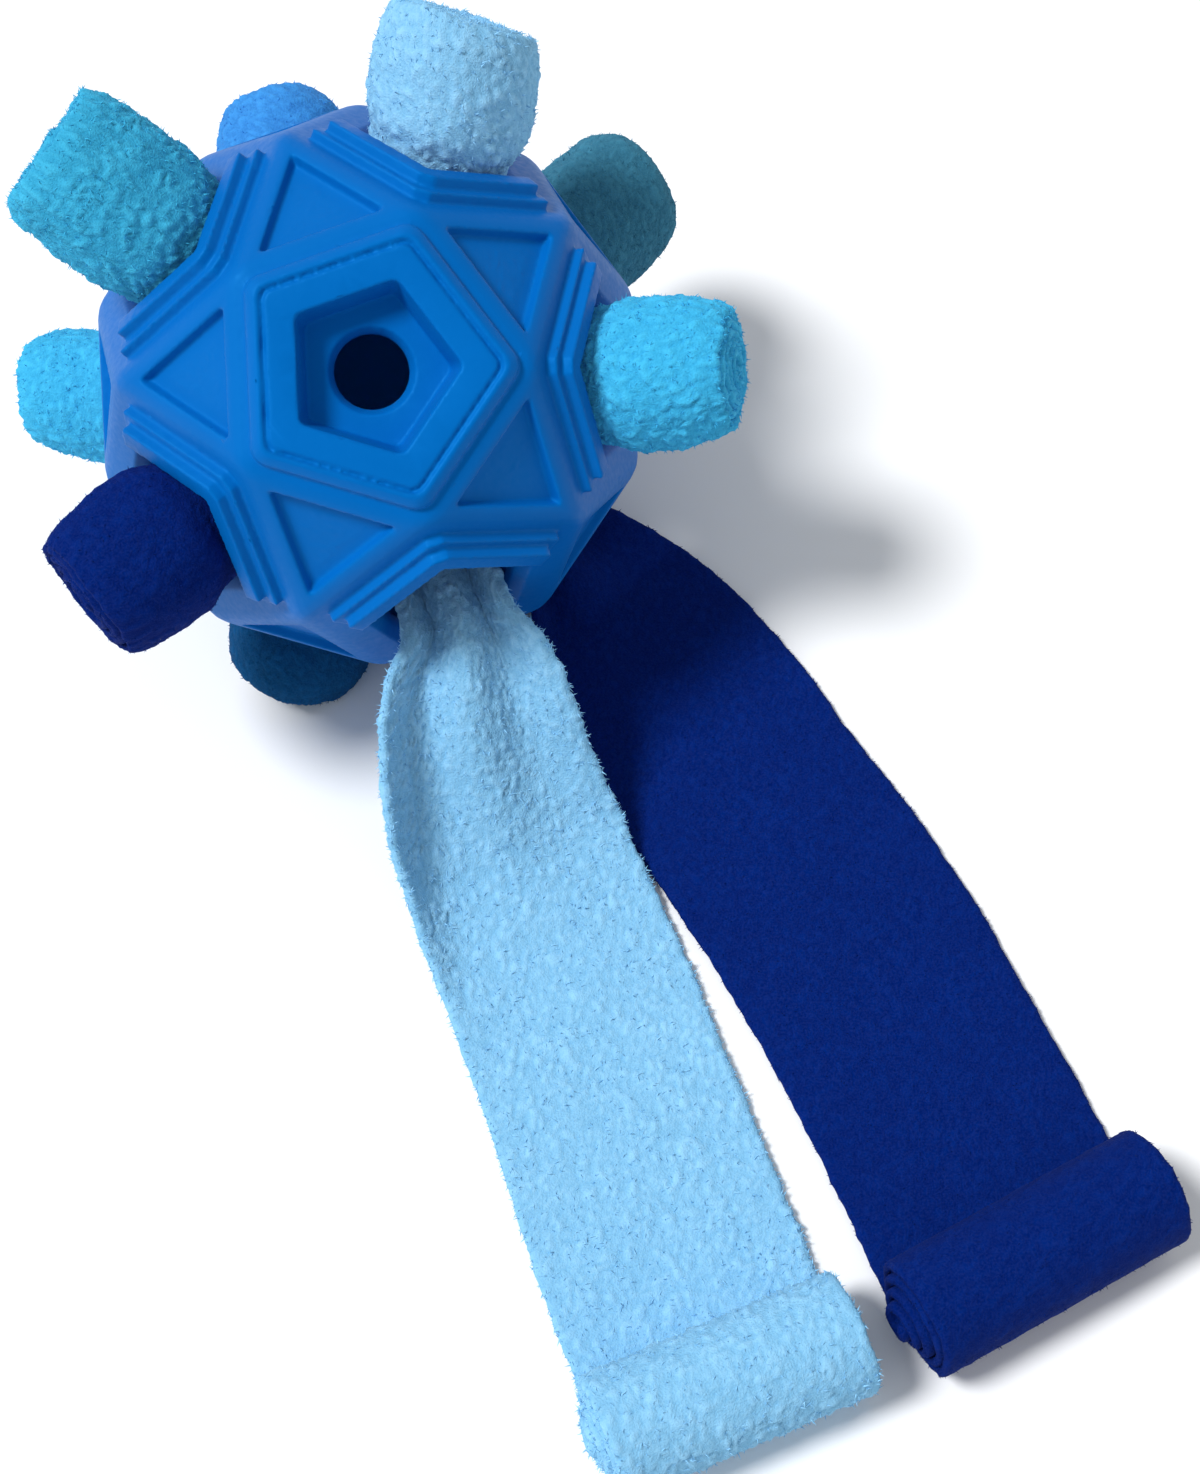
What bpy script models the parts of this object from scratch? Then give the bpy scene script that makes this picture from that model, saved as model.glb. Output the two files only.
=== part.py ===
"""Snuffle ball for dogs: a hollow moulded rubber ball with rolled fleece strips pushed into its windows.

Two strips are pulled out: each leaves its window in pleats, lies on the floor and ends in a wound log.
The floor is z = 0. The pole of the ball, with the treat well, leans towards -Y.
"""

import math

import bmesh
import bpy
from mathutils import Euler, Matrix, Vector

MM = 0.001
GAP = 0.3 * MM  # between pieces that touch

# The ball is an icosidodecahedron: 12 pentagons and 20 triangles, every corner on one sphere.
BALL_RADIUS = 55 * MM
BALL_CENTRE = Vector((-39.01, 68.84, 53.0)) * MM
BALL_TURN = Euler((math.radians(33.1), math.radians(3.6), math.radians(4.5)))
CAVITY_SCALE = 0.89
EDGE_ROUND = 1.6 * MM

SIDE = BALL_RADIUS * (math.sqrt(5) - 1) / 2
PENTAGON_CORNER = SIDE / (2 * math.sin(math.radians(36)))
PENTAGON_EDGE = PENTAGON_CORNER * math.cos(math.radians(36))
PENTAGON_HEIGHT = math.sqrt(BALL_RADIUS**2 - PENTAGON_CORNER**2)
RING_TILT = math.acos(1 / math.sqrt(5))  # between the pole and the axis of a ring pentagon

# Triangular panels: the plain frame round each, the width of the sloping wall, and the depth.
PANEL_FRAME = 4.4 * MM
PANEL_SLOPE = 1.0 * MM
PANEL_DEPTH = 2.0 * MM

# Windows: how far the sides lie from the axis, and the flare of the three sides away from the pole.
WINDOW_EDGE = 14.6 * MM
WINDOW_FLARE = 2.4 * MM
FLARE_DEPTH = 2.4 * MM
RIDGE_BLUNT = 1.8 * MM  # how far the chevron's corner is cut back along each edge
RIDGE_SIDES = (0, 4)  # the sides that meet at the corner by the pole

# Chevron ridges on the two window edges towards the pole: distance in from the pentagon's edge, how far
# the inner side lies inside the window's edge (the window cuts it off), foot and top above the pentagon's
# face, and the gap from the blunt end to the pentagon's corner, all in millimetres.
RIDGES = (
    {"name": "low", "inset": 3.2, "inside": 1.5, "foot": -1.3, "top": 2.1, "end_gap": 3.8},
    {"name": "high", "inset": 4.9, "inside": 0.8, "foot": 0.9, "top": 4.4, "end_gap": 5.7},
)

# Treat well in the pole pentagon: how far the sides lie from the axis, heights above the pentagon's face.
LAND_FOOT = 21.7 * MM
LAND_TOP = 20.1 * MM
LAND_HEIGHT = 2.6 * MM
LAND_CORNER = 3.6 * MM  # radius of the rounded corners
GROOVE_EDGE = 18.8 * MM
GROOVE_WIDTH = 1.3 * MM
GROOVE_DEPTH = 1.5 * MM
WELL_TOP = 13.2 * MM
WELL_FLOOR = 11.7 * MM
WELL_CORNER = 1.7 * MM
WELL_DEPTH = 7.5 * MM
CUP_WALL = 4.0 * MM
HOLE_RADIUS = 6.8 * MM
HOLE_LIP_RADIUS = 8.2 * MM
HOLE_LIP_DEPTH = 2.0 * MM
CORNER_STEPS = 4

# Rolls, one row each. ring is the hemisphere, azimuth the direction round the pole. reach is how far the
# outer end lies from the ball's centre, waist, belly and end the radius in the window, outside it and at
# the end, lean how far the end leans (x towards the pole, y to the side), seam the angle of the free edge,
# and nod how far the roll bends away from the pole on its way out, in degrees.
ROLL_COLUMNS = (
    "name", "ring", "azimuth", "reach", "belly", "end", "lean_x", "lean_y", "seam", "nod", "colour"
)
ROLLS = (
    ("roll_right", "front", 0, 72.8, 15.6, 13.8, 0, 0, 250, 4, "cyan"),
    ("roll_top", "front", 72, 73.4, 16.2, 15.4, 0, -2.0, 200, 12, "sky"),
    ("roll_upper_left", "front", 144, 77.0, 15.4, 14.2, 0, 0, 140, 14, "turquoise"),
    ("roll_lower_left", "front", 216, 72.4, 16.2, 15.2, 0, 0, 60, 15, "navy"),
    ("roll_behind_right", "back", 36, 76.05, 15.2, 15.6, -2.0, 2.0, 330, 0, "teal"),
    ("roll_behind_top", "back", 108, 65.9, 15.1, 14.4, 0, 0, 0, 0, "mid_blue"),
    ("roll_behind_left", "back", 180, 72.0, 14.8, 13.8, -3.0, -2.7, 30, 0, "cyan"),
    ("roll_under", "back", 252, 65.0, 15.6, 14.8, -2.0, 0, 330, 0, "petrol"),
)
ROLL_INNER_REACH = 31.5 * MM
ROLL_INNER_RADIUS = 14.2 * MM
ROLL_WAIST = WINDOW_EDGE - GAP
ROLL_POINTS = 22
ROLL_DOME = 1.6 * MM
END_ROUND = 2.2 * MM

CLOTH = 2.0 * MM

# Strips, one row for each section of the cloth from the end inside the ball to the start of the wound
# end: the middle of the cloth, its width as it lies, the way it heads, how far its left edge is banked up,
# the height of its pleats, and how far its right-hand edge curls up. Millimetres and degrees, measured
# from the point of the floor under the ball's centre.
STRIP_COLUMNS = ("x", "y", "z", "width", "heading", "bank", "pleat", "curl")
SKY_STRIP = (
    (13.5, -33.2, 38.8, 19.5, -70, 6, 2.3, 0.0),
    (16.8, -42.1, 37.8, 20.0, -70, 6, 2.3, 0.0),
    (17.8, -45.8, 36.9, 22.5, -70, 4, 2.3, 0.5),
    (18.6, -53.0, 33.0, 33.0, -70, 0, 2.0, 3.0),
    (20.2, -61.6, 25.5, 39.0, -69, 0, 1.6, 5.0),
    (23.3, -71.0, 15.5, 42.5, -68, 0, 1.0, 6.0),
    (28.0, -80.7, 6.8, 44.5, -67, 0, 0.4, 5.0),
    (33.2, -92.7, 2.4, 45.5, -67, 0, 0.0, 2.5),
    (38.4, -104.7, 1.0, 45.5, -67, 0, 0.0, 0.5),
    (44.3, -120.5, 1.0, 45.5, -69, 0, 0.0, 0.0),
    (50.2, -137.4, 1.0, 46.0, -70, 0, 0.0, 0.0),
    (56.4, -155.3, 1.0, 46.5, -69, 0, 0.0, 0.0),
    (67.0, -183.8, 1.0, 46.5, -67, 0, 0.0, 0.0),
)
NAVY_STRIP = (
    (16.2, -3.2, 21.6, 19.5, -12, 0, 2.3, 0.0),
    (24.9, -5.1, 12.7, 20.0, -12, 0, 2.3, 0.0),
    (30.5, -6.3, 7.2, 22.0, -14, 0, 2.2, 0.0),
    (37.0, -9.5, 3.8, 31.0, -24, 0, 1.5, 0.0),
    (43.2, -17.2, 2.0, 41.0, -37, 0, 0.6, 0.0),
    (50.2, -26.8, 1.0, 48.5, -46, 0, 0.0, 0.0),
    (59.0, -38.6, 1.0, 50.5, -53, 0, 0.0, 0.0),
    (67.4, -51.8, 1.0, 50.5, -57, 0, 0.0, 0.0),
    (76.6, -66.8, 1.0, 50.5, -60, 0, 0.0, 0.0),
    (88.6, -86.2, 1.0, 50.5, -61, 0, 0.0, 0.0),
    (102.3, -113.3, 1.0, 50.0, -62, 0, 0.0, 0.0),
    (122.7, -160.1, 1.0, 50.0, -61.5, 0, 0.0, 0.0),
)
STRIP_STEPS = 3  # sections made between two rows
ACROSS = 20  # cloth faces across the width
PLEATS = 2
CURL_SHARE = 0.35  # share of the half width that the curled edge takes
LOG_RADIUS = 12.0 * MM
LOG_TURN = math.radians(300)  # how far the outer turn is followed before it dives under the next
LOG_SECTIONS = 17
CORE_POINTS = 26
CORE_STICKS_OUT = 1.6 * MM  # how far the inner turns slide out on the right-hand side

# Colour, roughness.
MATERIALS = {
    "rubber": ((0.0, 0.16, 0.62, 1), 0.42),
    "cyan": ((0.08, 0.50, 0.76, 1), 0.95),
    "sky": ((0.30, 0.57, 0.82, 1), 0.95),
    "turquoise": ((0.06, 0.44, 0.62, 1), 0.95),
    "navy": ((0.0, 0.015, 0.22, 1), 0.95),
    "teal": ((0.05, 0.25, 0.34, 1), 0.95),
    "mid_blue": ((0.06, 0.27, 0.68, 1), 0.95),
    "petrol": ((0.01, 0.10, 0.24, 1), 0.95),
}


def clear_scene():
    for obj in list(bpy.data.objects):
        bpy.data.objects.remove(obj, do_unlink=True)


def new_collection(name, hidden=False):
    collection = bpy.data.collections.new(name)
    bpy.context.scene.collection.children.link(collection)
    collection.hide_render = hidden
    return collection


def material(name):
    colour, roughness = MATERIALS[name]
    made = bpy.data.materials.get(name) or bpy.data.materials.new(name)
    made.use_nodes = True
    surface = made.node_tree.nodes["Principled BSDF"]
    surface.inputs["Base Color"].default_value = colour
    surface.inputs["Roughness"].default_value = roughness
    surface.inputs["Metallic"].default_value = 0.0
    made.diffuse_color = colour
    return made


def object_of(bm, name, collection, place=None):
    """The object made from a bmesh, with its faces outwards."""
    bmesh.ops.recalc_face_normals(bm, faces=bm.faces)
    mesh = bpy.data.meshes.new(name)
    bm.to_mesh(mesh)
    bm.free()
    obj = bpy.data.objects.new(name, mesh)
    collection.objects.link(obj)
    if place is not None:
        obj.matrix_world = place
    return obj


def helper_of(bm, name, place=None):
    obj = object_of(bm, name, cutters, place)
    obj.hide_render = True
    obj.display_type = "WIRE"
    return obj


def boolean(obj, operation, helper):
    modifier = obj.modifiers.new(f"{operation.lower()} {helper.name}", "BOOLEAN")
    modifier.operation = operation
    modifier.solver = "EXACT"
    modifier.object = helper


def icosidodecahedron(radius):
    """Twelve pentagons and twenty triangles: an icosahedron with each corner cut back to its edges' middles.

    A pentagon faces +Z, with a corner over +X.
    """
    bm = bmesh.new()
    bmesh.ops.create_icosphere(bm, subdivisions=1, radius=1)
    bmesh.ops.bevel(
        bm, geom=bm.verts[:], offset=50, offset_type="PERCENT", affect="VERTICES", clamp_overlap=False
    )
    bmesh.ops.remove_doubles(bm, verts=bm.verts, dist=1e-3)
    top = max(bm.verts, key=lambda vert: (round(vert.co.z, 4), vert.co.x))
    bmesh.ops.rotate(bm, verts=bm.verts, matrix=Matrix.Rotation(-math.atan2(top.co.y, top.co.x), 3, "Z"))
    for vert in bm.verts:
        vert.co = vert.co.normalized() * radius
    return bm


def pentagon_outline(distances):
    """Five corners, the first over +X, of the sides that lie these distances from the axis."""
    normals = [Matrix.Rotation(math.radians(36 + 72 * k), 3, "Z") @ Vector((1, 0, 0)) for k in range(5)]
    across = math.cos(math.radians(72))
    corners = []
    for k in range(5):
        d, e = distances[k - 1], distances[k]
        corner = normals[k - 1] * (d - e * across) + normals[k] * (e - d * across)
        corners.append(corner / (1 - across**2))
    return corners


def rounded_ring(bm, height, distance, corner):
    """A ring of points round a five-sided outline with rounded corners."""
    ring = []
    for k in range(5):
        middle = (distance - corner) / math.cos(math.radians(36))
        for step in range(CORNER_STEPS + 1):
            angle = math.radians(72 * k - 36 + 72 * step / CORNER_STEPS)
            x = middle * math.cos(math.radians(72 * k)) + corner * math.cos(angle)
            y = middle * math.sin(math.radians(72 * k)) + corner * math.sin(angle)
            ring.append(bm.verts.new((x, y, height)))
    return ring


def bridge(bm, lower, upper):
    for k in range(len(lower)):
        bm.faces.new((lower[k - 1], lower[k], upper[k], upper[k - 1]))


def rounded_solid(levels):
    """A rounded five-sided solid along Z through levels, each a (height, distance, corner radius)."""
    bm = bmesh.new()
    rings = [rounded_ring(bm, *level) for level in levels]
    bm.faces.new(rings[0])
    bm.faces.new(rings[-1])
    for lower, upper in zip(rings, rings[1:]):
        bridge(bm, lower, upper)
    return bm


def pentagon_solid(levels):
    """A five-sided solid along Z through levels, each a (height, distances of the sides) pair."""
    bm = bmesh.new()
    rings = []
    for height, distances in levels:
        outline = pentagon_outline(distances)
        rings.append([bm.verts.new(corner + Vector((0, 0, height))) for corner in outline])
    bm.faces.new(rings[0])
    bm.faces.new(rings[-1])
    for lower, upper in zip(rings, rings[1:]):
        for k in range(5):
            bm.faces.new((lower[k - 1], lower[k], upper[k], upper[k - 1]))
    return bm


def ring_frame(ring, azimuth):
    """The frame of a ring pentagon, in the ball: Z out along its axis, X towards the corner by its pole."""
    turn = Matrix.Rotation(math.radians(azimuth), 4, "Z")
    if ring == "front":
        return turn @ Matrix.Rotation(RING_TILT, 4, "Y") @ Matrix.Rotation(math.pi, 4, "Z")
    return turn @ Matrix.Rotation(math.pi - RING_TILT, 4, "Y")


def ridge_outline(ridge):
    """One chevron's outline in the pentagon's frame: a V along the two edges that meet over +X."""
    outer = PENTAGON_EDGE - ridge["inset"] * MM
    inner = WINDOW_EDGE - ridge["inside"] * MM
    along = SIDE / 2 - ridge["end_gap"] * MM
    blunt = outer * math.tan(math.radians(36)) - RIDGE_BLUNT
    outline = []
    for side, distance, slide in (
        (1, outer, along),
        (1, outer, -blunt),
        (-1, outer, -blunt),
        (-1, outer, along),
        (-1, inner, along),
        (0, inner / math.cos(math.radians(36)), 0.0),
        (1, inner, along),
    ):
        turn = Matrix.Rotation(side * math.radians(36), 3, "Z")
        outline.append(turn @ Vector((distance, side * slide, 0)))
    return outline


def add_prism(bm, outline, low, high, place):
    verts = [bm.verts.new(place @ (point + Vector((0, 0, low)))) for point in outline]
    face = bm.faces.new(verts)
    top = bmesh.ops.extrude_face_region(bm, geom=[face])["geom"]
    lift = place.to_3x3() @ Vector((0, 0, high - low))
    bmesh.ops.translate(bm, verts=[item for item in top if isinstance(item, bmesh.types.BMVert)], vec=lift)


def merged(parts, place=None):
    """One bmesh of several, each a (bmesh, matrix) pair."""
    whole = bmesh.new()
    for bm, matrix in parts:
        bmesh.ops.transform(bm, matrix=matrix, verts=bm.verts)
        mesh = bpy.data.meshes.new("part")
        bm.to_mesh(mesh)
        bm.free()
        whole.from_mesh(mesh)
        bpy.data.meshes.remove(mesh)
    return whole


def windows():
    """(ring, azimuth) of the ten ring pentagons."""
    return [("front", 72 * k) for k in range(5)] + [("back", 36 + 72 * k) for k in range(5)]


def ball_body():
    """The solid ball with soft edges and its twenty sunk panels."""
    bm = icosidodecahedron(BALL_RADIUS)
    bmesh.ops.bevel(bm, geom=bm.edges[:], offset=EDGE_ROUND, segments=2, profile=0.5, affect="EDGES")
    largest = max(face.calc_area() for face in bm.faces if len(face.verts) == 3)
    panels = [face for face in bm.faces if len(face.verts) == 3 and face.calc_area() > 0.9 * largest]
    frame = bmesh.ops.inset_individual(bm, faces=panels, thickness=PANEL_FRAME - EDGE_ROUND)
    del frame
    bmesh.ops.inset_individual(bm, faces=panels, thickness=PANEL_SLOPE, depth=-PANEL_DEPTH)
    return bm


def make_ball(place):
    ball = object_of(ball_body(), "ball_shell", toy, place)
    ball.data.materials.append(material("rubber"))

    land = rounded_solid(
        (
            (PENTAGON_HEIGHT - LAND_HEIGHT, LAND_FOOT, LAND_CORNER),
            (PENTAGON_HEIGHT + LAND_HEIGHT / 2, LAND_FOOT, LAND_CORNER),
            (PENTAGON_HEIGHT + LAND_HEIGHT, LAND_TOP, LAND_CORNER - MM),
        )
    )
    boolean(ball, "UNION", helper_of(land, "land", place))

    for ridge in RIDGES:
        stack = bmesh.new()
        foot = PENTAGON_HEIGHT + ridge["foot"] * MM
        top = PENTAGON_HEIGHT + ridge["top"] * MM
        for ring, azimuth in windows():
            add_prism(stack, ridge_outline(ridge), foot, top, ring_frame(ring, azimuth))
        boolean(ball, "UNION", helper_of(stack, f"ridges_{ridge['name']}", place))

    cavity = icosidodecahedron(BALL_RADIUS * CAVITY_SCALE)
    boolean(ball, "DIFFERENCE", helper_of(cavity, "cavity", place))

    well_floor = PENTAGON_HEIGHT + LAND_HEIGHT - WELL_DEPTH
    cup = pentagon_solid(
        (
            (well_floor - CUP_WALL, [WELL_FLOOR] * 5),
            (PENTAGON_HEIGHT - MM, [WELL_TOP + CUP_WALL] * 5),
        )
    )
    boolean(ball, "UNION", helper_of(cup, "cup", place))

    straight = [WINDOW_EDGE] * 5
    flared = [WINDOW_EDGE if side in RIDGE_SIDES else WINDOW_EDGE + WINDOW_FLARE for side in range(5)]
    mouths = [
        (
            pentagon_solid(
                (
                    (PENTAGON_HEIGHT * 0.7, straight),
                    (PENTAGON_HEIGHT - FLARE_DEPTH, straight),
                    (PENTAGON_HEIGHT + MM, flared),
                    (PENTAGON_HEIGHT + 9 * MM, flared),
                )
            ),
            ring_frame(ring, azimuth),
        )
        for ring, azimuth in windows()
    ]
    boolean(ball, "DIFFERENCE", helper_of(merged(mouths), "window_mouths", place))

    well = rounded_solid(
        (
            (well_floor, WELL_FLOOR, WELL_CORNER),
            (PENTAGON_HEIGHT + LAND_HEIGHT + MM / 2, WELL_TOP, WELL_CORNER),
        )
    )
    boolean(ball, "DIFFERENCE", helper_of(well, "well", place))

    boolean(ball, "DIFFERENCE", helper_of(hole_cutter(well_floor), "hole", place))
    boolean(ball, "DIFFERENCE", helper_of(groove_cutter(), "groove", place))
    boolean(ball, "DIFFERENCE", helper_of(floor_block(), "floor_under_ball"))
    return ball


def hole_cutter(well_floor):
    """The round hole through the well's floor, wider at its lip."""
    profile = (
        (0.0, well_floor - 2 * CUP_WALL),
        (HOLE_RADIUS, well_floor - 2 * CUP_WALL),
        (HOLE_RADIUS, well_floor - HOLE_LIP_DEPTH),
        (HOLE_LIP_RADIUS, well_floor + MM / 2),
        (0.0, well_floor + MM / 2),
    )
    return turned(profile, 24)


def groove_cutter():
    """A rounded five-sided V-shaped ring along the land."""
    bm = bmesh.new()
    top = PENTAGON_HEIGHT + LAND_HEIGHT
    half = GROOVE_WIDTH / 2
    rings = [
        rounded_ring(bm, top + MM / 4, GROOVE_EDGE - half, LAND_CORNER - 2 * MM),
        rounded_ring(bm, top + MM / 4, GROOVE_EDGE + half, LAND_CORNER - MM),
        rounded_ring(bm, top - GROOVE_DEPTH, GROOVE_EDGE, LAND_CORNER - 1.5 * MM),
    ]
    for k in range(3):
        bridge(bm, rings[k - 1], rings[k])
    return bm


def turned(profile, steps):
    """A (radius, height) profile spun round Z, its first copy over +X."""
    bm = bmesh.new()
    verts = [bm.verts.new((radius, 0, height)) for radius, height in profile]
    edges = [bm.edges.new(pair) for pair in zip(verts, verts[1:])]
    bmesh.ops.spin(
        bm, geom=verts + edges, cent=(0, 0, 0), axis=(0, 0, 1), angle=math.tau, steps=steps, use_merge=True
    )
    bmesh.ops.remove_doubles(bm, verts=bm.verts, dist=1e-6)
    return bm


def floor_block():
    """What lies under the floor. It gives the ball its small flat spot."""
    bm = bmesh.new()
    bmesh.ops.create_cube(bm, size=1)
    for vert in bm.verts:
        vert.co = Vector((vert.co.x * 0.2, vert.co.y * 0.2, (vert.co.z - 0.5) * 0.03)) + Vector(
            (BALL_CENTRE.x, BALL_CENTRE.y, 0)
        )
    return bm


def roll_sections(row):
    """(distance from the ball's centre, radius) along a roll, from its inner end to its rounded outer end."""
    face = PENTAGON_HEIGHT
    reach, belly, end = row["reach"] * MM, row["belly"] * MM, row["end"] * MM
    ridge_top = face + RIDGES[-1]["top"] * MM
    return (
        (ROLL_INNER_REACH, ROLL_INNER_RADIUS - MM),
        (ROLL_INNER_REACH + MM, ROLL_INNER_RADIUS),
        (face * CAVITY_SCALE - MM, ROLL_INNER_RADIUS),
        (ridge_top + GAP, ROLL_WAIST),
        (ridge_top + 3 * MM, belly),
        ((ridge_top + reach) / 2 + MM, (belly + end) / 2 + MM / 2),
        (reach - END_ROUND, end),
        (reach - END_ROUND * 0.3, end - END_ROUND * 0.4),
        (reach, end - END_ROUND * 1.3),
    )


def spiral_ring(radius, seam):
    """Outline across a roll: a circle that grows by one layer of cloth from the free edge round to itself."""
    points = []
    for k in range(ROLL_POINTS):
        angle = seam + math.tau * k / (ROLL_POINTS - 1)
        grown = radius - CLOTH * 0.6 * (1 - k / (ROLL_POINTS - 1))
        points.append(Vector((grown * math.cos(angle), grown * math.sin(angle), 0)))
    return points


def nodded(point, row, start):
    """Bends a roll away from the pole, evenly from its window to its end."""
    nod = math.radians(row["nod"])
    if nod == 0 or point.z <= start:
        return point
    length = row["reach"] * MM - start
    bend = nod * (point.z - start) / length
    x = -length / nod * (1 - math.cos(bend)) + point.x * math.cos(bend)
    z = start + length / nod * math.sin(bend) + point.x * math.sin(bend)
    return Vector((x, point.y, z))


def make_roll(row, place):
    """One wound strip, lofted from spiral outlines along the axis of its window."""
    bm = bmesh.new()
    frame = place @ ring_frame(row["ring"], row["azimuth"])
    seam = math.radians(row["seam"])
    start = PENTAGON_HEIGHT + RIDGES[-1]["top"] * MM
    rings = []
    for distance, radius in roll_sections(row):
        share = max(0.0, (distance - start) / (row["reach"] * MM - start))
        shift = Vector((row["lean_x"], row["lean_y"], 0)) * MM * share**1.5
        middle = Vector((0, 0, distance)) + shift
        ring = [nodded(point + middle, row, start) for point in spiral_ring(radius, seam)]
        rings.append([bm.verts.new(frame @ point) for point in ring])
    for lower, upper in zip(rings, rings[1:]):
        for k in range(ROLL_POINTS):
            after = (k + 1) % ROLL_POINTS
            bm.faces.new((lower[k], lower[after], upper[after], upper[k]))
    lean = Vector((row["lean_x"], row["lean_y"], 0)) * MM
    caps = (
        (rings[0], Vector((0, 0, ROLL_INNER_REACH))),
        (rings[-1], Vector((0, 0, row["reach"] * MM + ROLL_DOME)) + lean),
    )
    for ring, tip in caps:
        centre = bm.verts.new(frame @ nodded(tip, row, start))
        for k in range(ROLL_POINTS):
            bm.faces.new((ring[k], ring[(k + 1) % ROLL_POINTS], centre))
    for vert in bm.verts:
        vert.co.z = max(vert.co.z, 0.0)
    roll = object_of(bm, row["name"], toy)
    roll.data.materials.append(material(row["colour"]))
    return roll


def blended(rows, position):
    """A row between the table's rows, on a smooth curve through them."""
    index = min(int(position), len(rows) - 2)
    t = position - index
    before = rows[max(index - 1, 0)]
    start, end = rows[index], rows[index + 1]
    after = rows[min(index + 2, len(rows) - 1)]
    row = {}
    for column in STRIP_COLUMNS:
        a, b, c, d = before[column], start[column], end[column], after[column]
        row[column] = (
            b + 0.5 * t * (c - a + t * (2 * a - 5 * b + 4 * c - d + t * (3 * (b - c) + d - a)))
        )
    return row


def strip_sections(table):
    """(middle, heading, row) of every section, with the outer turn of the wound end after the table's rows."""
    rows = [dict(zip(STRIP_COLUMNS, values)) for values in table]
    origin = Vector((BALL_CENTRE.x, BALL_CENTRE.y, 0))
    sections = []
    count = (len(rows) - 1) * STRIP_STEPS
    for k in range(count + 1):
        row = blended(rows, k / STRIP_STEPS)
        row["pleat"] = max(row["pleat"], 0.0)
        row["curl"] = max(row["curl"], 0.0)
        lowest = CLOTH / MM / 2 + row["pleat"]
        middle = origin + Vector((row["x"], row["y"], max(row["z"], lowest))) * MM
        sections.append((middle, math.radians(row["heading"]), row))
    end, heading, row = sections[-1]
    forward = Vector((math.cos(heading), math.sin(heading), 0))
    radius = LOG_RADIUS - CLOTH / 2
    for k in range(1, LOG_SECTIONS + 1):
        turn = LOG_TURN * k / LOG_SECTIONS
        wound = radius - CLOTH * turn / math.tau
        middle = end + forward * wound * math.sin(turn) + Vector((0, 0, radius - wound * math.cos(turn)))
        sections.append((middle, heading, row))
    return sections


def section_points(middle, along, heading, row):
    """Points across the cloth from its right-hand edge to its left-hand edge."""
    left = Vector((-math.sin(heading), math.cos(heading), 0))
    left = Matrix.Rotation(math.radians(row["bank"]), 3, along) @ left
    up = along.cross(left).normalized()
    points = []
    for k in range(ACROSS + 1):
        t = 2 * k / ACROSS - 1
        lift = row["pleat"] * math.cos(math.pi * PLEATS * (t + 1))
        edge = max(0.0, (-t - 1 + CURL_SHARE) / CURL_SHARE)
        lift += row["curl"] * edge**2
        points.append(middle + left * t * row["width"] / 2 * MM + up * lift * MM)
    return points


def make_strip(name, colour, table):
    """A strip pulled out of its window: one bent sheet, joined to the log that is still wound."""
    sections = strip_sections(table)
    middles = [middle for middle, _, _ in sections]
    bm = bmesh.new()
    rows = []
    for k, (middle, heading, row) in enumerate(sections):
        along = (middles[min(k + 1, len(middles) - 1)] - middles[max(k - 1, 0)]).normalized()
        rows.append([bm.verts.new(point) for point in section_points(middle, along, heading, row)])
    for lower, upper in zip(rows, rows[1:]):
        for k in range(ACROSS):
            bm.faces.new((lower[k], upper[k], upper[k + 1], lower[k + 1]))
    strip = object_of(bm, name, toy)
    strip.data.materials.append(material(colour))
    sheet = strip.modifiers.new("cloth", "SOLIDIFY")
    sheet.thickness = CLOTH
    sheet.offset = 0
    end, heading, row = sections[-LOG_SECTIONS - 1]
    boolean(strip, "UNION", helper_of(log_core(end, heading, row["width"] * MM), f"{name}_core"))
    return strip


def log_core(end, heading, width):
    """The turns inside the outer one, as one cylinder across the strip."""
    bm = bmesh.new()
    radius = LOG_RADIUS - CLOTH * 0.8
    bmesh.ops.create_cone(
        bm, cap_ends=True, segments=CORE_POINTS, radius1=radius, radius2=radius, depth=width - MM
    )
    lay = Matrix.Rotation(heading, 4, "Z") @ Matrix.Rotation(math.pi / 2, 4, "X")
    right = Vector((math.sin(heading), -math.cos(heading), 0))
    middle = end + Vector((0, 0, LOG_RADIUS - CLOTH / 2)) + right * CORE_STICKS_OUT
    bmesh.ops.transform(bm, matrix=Matrix.Translation(middle) @ lay, verts=bm.verts)
    return bm


clear_scene()
toy = new_collection("snuffle_ball")
cutters = new_collection("cutters", hidden=True)
ball_place = Matrix.Translation(BALL_CENTRE) @ BALL_TURN.to_matrix().to_4x4()
make_ball(ball_place)
for values in ROLLS:
    make_roll(dict(zip(ROLL_COLUMNS, values)), ball_place)
make_strip("strip_sky", "sky", SKY_STRIP)
make_strip("strip_navy", "navy", NAVY_STRIP)
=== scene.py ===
# %% [markdown]
# # A snuffle ball for dogs
# The toy is a hollow rubber ball with ten five-sided windows. A strip of fleece is rolled up tight and
# pushed into each window, with dry food between its turns, and the dog has to pull the strips out.
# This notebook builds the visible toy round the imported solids, one piece at a time: ball, rolls, strips,
# finishes and loose fibres. Sizes are in millimetres while a shape is worked out, and in metres once it is
# a mesh.

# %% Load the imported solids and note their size
import math

import bmesh
import bpy
import numpy as np
from mathutils import Euler, Matrix, Vector


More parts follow.
